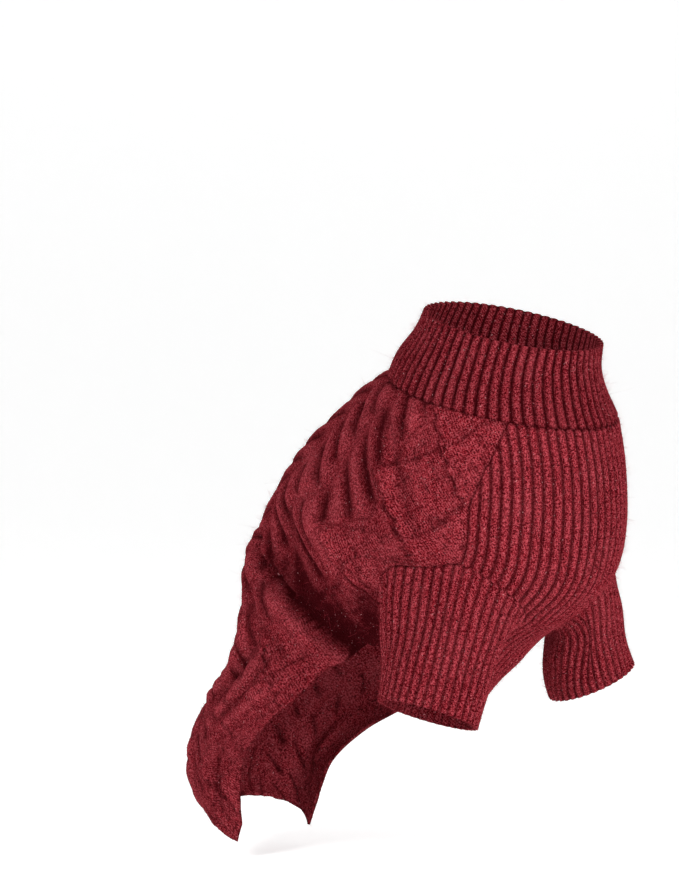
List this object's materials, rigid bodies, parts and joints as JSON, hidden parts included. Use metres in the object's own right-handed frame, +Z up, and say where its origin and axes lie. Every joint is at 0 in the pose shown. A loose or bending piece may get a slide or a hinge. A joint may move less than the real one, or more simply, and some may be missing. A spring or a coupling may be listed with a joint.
{
  "type": "dog sweater",
  "caption": "Knitted turtleneck dog sweater in its worn shape: ribbed collar, chest and front sleeves, a cabled back and a tail flap, hollow and open at neck, cuffs and rear.",
  "frame": {"origin": "centre of the ring seam between the collar and the body, where the neck holds the sweater", "axes": "+Z up, -Y forward, to the chest side, and +X to the wearer's left"},
  "size_m": [0.2251, 0.3225, 0.3599],
  "materials": {
    "rib_knit": "napped wool blend rib knit, matt",
    "cable_knit": "napped wool blend cable knit, matt"
  },
  "bodies": {
    "root": {"collar": "rib_knit", "back_panel": "cable_knit", "chest_panel": "rib_knit", "sleeve_right": "rib_knit", "sleeve_left": "rib_knit"}
  },
  "joints": []
}
